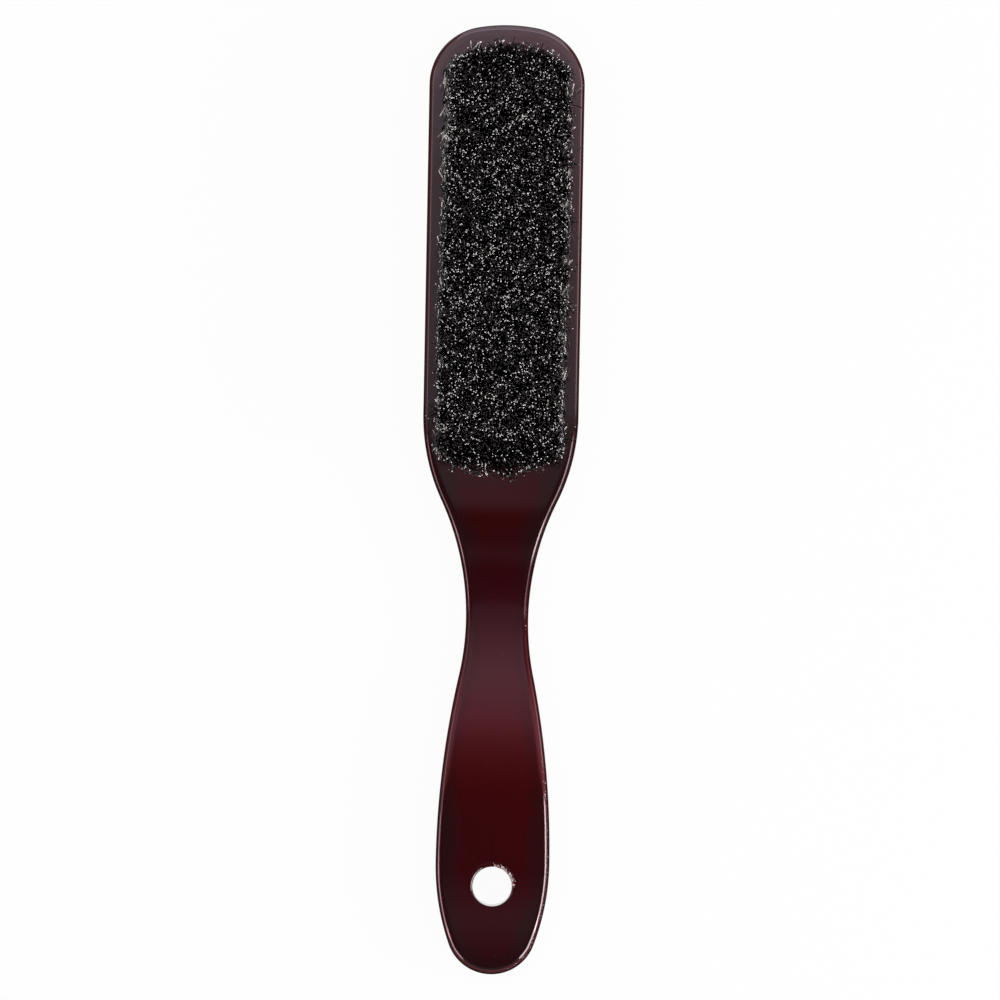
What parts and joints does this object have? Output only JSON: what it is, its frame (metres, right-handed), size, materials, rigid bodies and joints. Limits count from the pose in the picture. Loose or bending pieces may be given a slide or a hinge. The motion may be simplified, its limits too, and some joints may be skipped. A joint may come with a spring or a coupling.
{
  "type": "fade brush",
  "caption": "Long-handled hardwood hair brush with staggered tufts of black bristle and a hanging hole.",
  "frame": {"origin": "under the middle of the brush's length and width, in the plane of its flat back", "axes": "+Y along the brush towards the head, +Z out of the back through the bristles, +X across the brush"},
  "size_m": [0.0386, 0.236, 0.031],
  "materials": {
    "lacquered_wood": "gloss",
    "bristle": "matte",
    "anchor_wire": "satin"
  },
  "bodies": {
    "root": {"wooden_body": "lacquered_wood", "anchors": "anchor_wire", "tuft_row_01": "bristle", "tuft_row_02": "bristle", "tuft_row_03": "bristle", "tuft_row_04": "bristle", "tuft_row_05": "bristle", "tuft_row_06": "bristle", "tuft_row_07": "bristle", "tuft_row_08": "bristle", "tuft_row_09": "bristle", "tuft_row_10": "bristle", "tuft_row_11": "bristle", "tuft_row_12": "bristle", "tuft_row_13": "bristle", "tuft_row_14": "bristle", "tuft_row_15": "bristle", "tuft_row_16": "bristle", "tuft_row_17": "bristle", "tuft_row_18": "bristle", "tuft_row_19": "bristle", "tuft_row_20": "bristle", "tuft_row_21": "bristle", "tuft_row_22": "bristle", "tuft_row_23": "bristle", "tuft_row_24": "bristle", "tuft_row_25": "bristle", "tuft_row_26": "bristle", "tuft_row_27": "bristle", "tuft_row_28": "bristle", "tuft_row_29": "bristle"}
  },
  "joints": []
}
